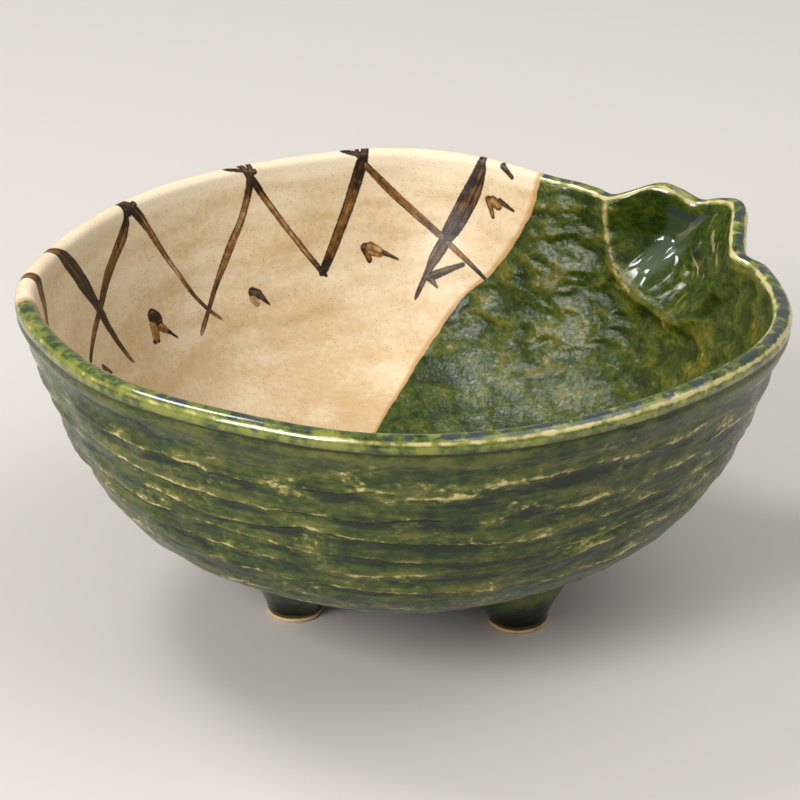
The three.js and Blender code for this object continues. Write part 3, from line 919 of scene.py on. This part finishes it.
def green_inside(t, at, sizes, colours):
    """The green side within: mottled, olive on the lumps, and the lobe with its run of pooled glaze."""
    lumps = pressed_lumps(t, at.place, sizes.lump_size / MM)
    mottle = t.noise(at.place, (1.7, 1.7, 1.5), detail=4, roughness=0.65, warp=0.4, shift=25)
    patches = t.noise(at.place, (8, 8, 5), detail=3, shift=26)
    pocket, brim, run, folds, beside = lobe_parts(t, at.around, at.down)
    tone = lumps * 0.14 * (1 - pocket) + pocket * 0.04 + mottle * 0.44 + patches * 0.42
    pool, usual, thin, broken = colours.leaf_pool, colours.leaf, colours.leaf_thin, colours.green_break
    shade = t.ramp(tone, (0.38, pool), (0.51, usual), (0.65, thin), (0.85, broken))
    creased = beside * t.smooth(folds, 0.56, 0.66)
    shade = t.mix(creased * 0.4, shade, colours.green_break)
    shade = t.mix(brim * 0.5, shade, colours.leaf_thin)
    crumbs = t.smooth(patches + mottle - at.down * 0.012, 0.72, 1.0)
    shade = t.mix(brim * brim * crumbs * 0.6, shade, colours.green_break)
    shade = t.mix(run * 0.7, shade, colours.trough)
    notch = run * (1 - t.smooth(at.down, 3, 7)) * t.smooth(at.down, 0, 2)
    shade = t.mix(notch, shade, colours.blue_pool)
    pitted = ((mottle - 0.5) * 0.3 + lumps * 0.15) * (1 - pocket * 0.85) * at.inside
    return shade, run, pitted


def cream_inside(t, at, colours):
    """The cream side: warm clouds and specks, darker further down as painted shade, with a painted highlight
    along the rim, toasted where it meets the green, and the iron strokes.
    """
    clouds = t.noise(at.ring, (30, 30, 12), detail=5, shift=27) * 0.7
    warmth = clouds + t.noise(at.place, 2, detail=3, shift=32) * 0.3
    # Painted shade: the cream is paler near the rim and darker further down the wall.
    painted_shade_lower = t.between(at.down, 0, 45, -0.05, 0.07)
    shade = t.mix(t.smooth(warmth + painted_shade_lower, 0.36, 0.7), colours.cream, colours.cream_shade)
    cells = t.add("ShaderNodeTexVoronoi", None, {"Vector": at.place, "Scale": 1.05, "Randomness": 1.0})
    few = t.smooth(t.parts(cells.out("Color"))[0], 0.35, 0.45)
    specks = (1 - t.smooth(cells.out("Distance"), 0.1, 0.24)) * few
    shade = t.mix(specks * 0.75, shade, colours.speck)
    # Painted highlight along the top of the cream rim.
    rim_highlight = t.smooth(at.skin, 0.3, 0.5) * (1 - t.smooth(at.down, 1, 4))
    shade = t.mix(rim_highlight * 0.35, shade, colours.cream_rim_highlight)
    edge = glaze_edge(t, at.reach, at.place)
    shade = t.mix(t.near(edge - 0.7, 2.2) * 0.8, shade, colours.toast)
    covered, thick = brushwork(t, at.around, at.down, at.place)
    shade = t.mix(covered, shade, t.mix(thick, colours.iron_thin, colours.iron))
    return shade, t.smooth(edge, -0.4, 0.4) * t.smooth(at.skin, 0.12, 0.3)


def glaze_material(sizes, colours):
    """Green glaze outside, on the near rim and over one side within; cream with brushwork on the other."""
    material, t, shader = new_material("poured_green_and_cream_glaze", sizes.seed)
    at = GlazeFields(t)
    outer, broken, drawn = outer_glaze(t, at, colours)
    rim = rim_glaze(t, at, colours)
    inner, run, pitted = green_inside(t, at, sizes, colours)
    cream, creamy = cream_inside(t, at, colours)
    shade = t.mix(at.on_rim, outer, rim)
    shade = t.mix(at.inside, shade, inner)
    shade = t.mix(creamy, shade, cream)

    # The run of glaze in the lobe and the green rim look wet, under a clear coat.
    shader.inputs["Coat IOR"].default_value = 1.8
    shader.inputs["Coat Roughness"].default_value = 0.05
    coat = run * at.inside + at.on_rim * (1 - creamy) * 0.4
    t.links.new(coat.socket, shader.inputs["Coat Weight"])

    # A Bump node works out its height three times, so the long sums of the brushwork stay out of it.
    satin = at.outside * 0.06 + creamy * 0.2 + broken * 0.1
    wet = run * at.inside * 0.12 + at.inside * (1 - creamy) * 0.04
    roughness = 0.15 + t.noise(at.place, 3, shift=28) * 0.1 + satin - wet
    grain = (t.noise(at.place, (0.9, 0.9, 0.6), detail=3, shift=29) - 0.5) * (1 - run) * 0.05
    finish_shader(t, shader, shade, roughness, grain + drawn + pitted * (1 - creamy), specular=0.34)
    return material


def foot_material(sizes, colours):
    """Green glaze pooled dark on a foot, with a bare clay sole."""
    material, t, shader = new_material("pooled_green_foot_glaze", sizes.seed)
    place = t.add("ShaderNodeTexCoord").out("Object") * 1000
    up = t.parts(place)[2]
    waver = (t.noise(place, 5, detail=2, shift=31) - 0.5) * 1.2
    pooled = t.noise(place, (6, 6, 9), detail=3, shift=32) * 0.8 + t.between(up, 3, 14, -0.04, 0.42)
    black, pool, usual, thin = colours.foot_pool, colours.green_pool, colours.green, colours.green_thin
    glaze = t.ramp(pooled, (0.42, black), (0.6, pool), (0.74, usual), (0.9, thin))
    bare = 1 - t.smooth(up + waver, 1.4, 1.7)
    brink = t.near(up + waver - 2.1, 0.8)
    grit = t.noise(place, 0.8, detail=3, shift=33)
    clay = t.mix(t.smooth(grit, 0.5, 0.8) * 0.4, colours.clay, colours.iron_thin)
    shade = t.mix(brink * 0.6, glaze, colours.foot_brink)
    shade = t.mix(bare, shade, clay)
    roughness = 0.14 + bare * 0.66
    height = (grit - 0.5) * 0.12 * bare + (t.noise(place, 3, shift=34) - 0.5) * 0.25
    finish_shader(t, shader, shade, roughness, height, specular=0.22)
    return material


def foot_skin(wall, sizes, at, reach, size):
    """Points and faces of one foot: a flat sole, flaring sides and a top that follows the underside."""
    heading = math.radians(at)
    outward = np.array([math.cos(heading), math.sin(heading)])
    sideways = np.array([-outward[1], outward[0]])
    middle = outward * sizes.foot_from_axis / MM * reach
    turn = np.linspace(0, 2 * np.pi, FOOT_COLUMNS, endpoint=False)
    (sole_up, sole_spread), (top_up, top_spread) = FOOT_OUTLINE[0], FOOT_OUTLINE[-1]
    outline = [(sole_up, sole_spread * k) for k in reversed(FOOT_CAP_RINGS)] + list(FOOT_OUTLINE)
    outline += [(top_up, top_spread * k) for k in FOOT_CAP_RINGS]
    rows = []
    for share, spread in outline:
        across = size * spread / MM
        plan = (
            middle
            + np.outer(np.cos(turn), outward) * sizes.foot_half_depth * across
            + np.outer(np.sin(turn), sideways) * sizes.foot_half_width * across
        )
        ceiling = wall.underside_at(np.hypot(plan[:, 0], plan[:, 1]))
        rows.append(np.column_stack([plan + np.array(AXIS), share * ceiling]))
    centre = middle + np.array(AXIS)
    top = top_up * float(wall.underside_at(np.hypot(*middle)))
    return close_skin(np.array(rows), (*centre, 0), (*centre, top))


class MESH_OT_bowl_body(bpy.types.Operator):
    """Builds the bowl's body: floor, wall, rolled rim and pinched lobe, as one closed skin"""

    bl_idname = "serving_bowl.make_body"
    bl_label = "Make Bowl Body"

    def execute(self, context):
        sizes = context.scene.serving_bowl_sizes
        wall = Wall(sizes)
        rows = skin_rows(wall)
        first, last = LOBE_AT - LOBE_MARGIN, LOBE_AT + LOBE_MARGIN
        angles = np.array(spaced(first, last, LOBE_COLUMNS) + spaced(last, first + 360, OTHER_COLUMNS))
        share, inward, past, skin = (rows[:, k : k + 1] for k in range(4))
        points, faces = close_skin(
            wall.point(angles[None], share, inward, past),
            (*AXIS, wall.underside),
            (*AXIS, wall.underside + wall.thickness(0)),
        )
        down = np.broadcast_to((1 - share) * wall.length - past, (len(rows), len(angles)))
        turn = np.broadcast_to(np.radians(angles), down.shape)
        around = np.stack([np.cos(turn), np.sin(turn), down], -1).reshape(-1, 3)
        poles = [[0, 0, wall.length]]
        across = np.broadcast_to(angles, down.shape)
        reach = cream_reach(across, down).ravel()
        ridge = ridge_number(across, down).ravel()
        fields = {
            "around": np.vstack([poles, around, poles]),
            "skin": np.r_[0, np.broadcast_to(skin, down.shape).ravel(), 1],
            "ridge": np.r_[len(CRESTS), ridge, len(CRESTS)],
            "cream_reach": np.r_[0, reach, reach[-len(angles) :].mean()],
        }
        piece = make_piece("glazed_bowl_body", points, faces, fields)
        inputs = relief_heights(sizes)
        inputs["Glaze"] = glaze_material(sizes, context.scene.serving_bowl_colours)
        bake_nodes(piece, relief_nodes(sizes), inputs)
        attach(piece, "root")
        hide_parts("bowl_body")
        return {"FINISHED"}


class MESH_OT_bowl_feet(bpy.types.Operator):
    """Builds the three feet, flared where the slip joins them to the underside"""

    bl_idname = "serving_bowl.make_feet"
    bl_label = "Make Feet"

    def execute(self, context):
        sizes = context.scene.serving_bowl_sizes
        wall = Wall(sizes)
        glaze = foot_material(sizes, context.scene.serving_bowl_colours)
        for node, place in FEET.items():
            piece = make_piece(f"glazed_{node}", *foot_skin(wall, sizes, *place), {})
            piece.data.materials.append(glaze)
            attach(piece, "root")
            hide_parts(node)
        return {"FINISHED"}


class SCENE_OT_bowl_stage(bpy.types.Operator):
    """Sets the pale floor, the soft lamps, the sky and the camera"""

    bl_idname = "serving_bowl.set_stage"
    bl_label = "Set Stage"

    def execute(self, context):
        scene = context.scene
        settings = scene.serving_bowl_stage
        corners = np.array([(-1, -1, 0), (1, -1, 0), (1, 1, 0), (-1, 1, 0)]) * FLOOR_HALF
        floor = make_piece("floor", corners, [(0, 1, 2, 3)], {})
        material, _, shader = new_material("pale_floor", 0)
        shader.inputs["Base Color"].default_value = (*settings.floor_colour, 1)
        shader.inputs["Roughness"].default_value = FLOOR_ROUGHNESS
        floor.data.materials.append(material)
        for name, (place, width) in LAMPS.items():
            self.lamp(f"{name}_lamp", place, width, getattr(settings, f"{name}_power"))
        world = bpy.data.worlds.new("soft_sky")
        scene.world = world
        world.use_nodes = True
        sky = next(n for n in world.node_tree.nodes if n.type == "BACKGROUND")
        sky.inputs["Color"].default_value = (1, 1, 1, 1)
        sky.inputs["Strength"].default_value = settings.sky
        lens = bpy.data.cameras.new("viewer")
        lens.sensor_width = CAMERA_SENSOR
        lens.lens = CAMERA_LENS
        camera = bpy.data.objects.new("viewer", lens)
        camera.location = CAMERA_AT
        camera.rotation_euler = (math.radians(CAMERA_TILT), 0, 0)
        context.collection.objects.link(camera)
        scene.camera = camera
        scene.view_settings.view_transform = "Standard"
        return {"FINISHED"}

    @staticmethod
    def lamp(name, place, width, watts):
        """A square soft lamp that faces the bowl."""
        light = bpy.data.lights.new(name, "AREA")
        light.size = width
        light.energy = watts
        lamp = bpy.data.objects.new(name, light)
        lamp.location = place
        lamp.rotation_euler = (Vector(LAMPS_FACE) - Vector(place)).to_track_quat("-Z", "Y").to_euler()
        bpy.context.collection.objects.link(lamp)


class VIEW3D_PT_serving_bowl(bpy.types.Panel):
    """Sizes, colours and the steps that build the bowl"""

    bl_label = "Serving Bowl"
    bl_space_type = "VIEW_3D"
    bl_region_type = "UI"
    bl_category = "Serving Bowl"

    def draw(self, context):
        scene = context.scene
        for group in (scene.serving_bowl_sizes, scene.serving_bowl_colours, scene.serving_bowl_stage):
            column = self.layout.column(align=True)
            for name in group.__annotations__:
                column.prop(group, name)
        for operator in (MESH_OT_bowl_body, MESH_OT_bowl_feet, SCENE_OT_bowl_stage):
            self.layout.operator(operator.bl_idname)


GROUPS = {
    "serving_bowl_sizes": BowlSizes,
    "serving_bowl_colours": GlazeColours,
    "serving_bowl_stage": StageSettings,
}
CLASSES = (
    *GROUPS.values(),
    MESH_OT_bowl_body,
    MESH_OT_bowl_feet,
    SCENE_OT_bowl_stage,
    VIEW3D_PT_serving_bowl,
)


def register():
    for made in CLASSES:
        bpy.utils.register_class(made)
    for name, group in GROUPS.items():
        setattr(bpy.types.Scene, name, PointerProperty(type=group))


def unregister():
    for name in GROUPS:
        delattr(bpy.types.Scene, name)
    for made in reversed(CLASSES):
        bpy.utils.unregister_class(made)


def main():
    register()
    bpy.ops.serving_bowl.set_stage()
    bpy.ops.serving_bowl.make_body()
    bpy.ops.serving_bowl.make_feet()


if __name__ == "__main__":
    main()
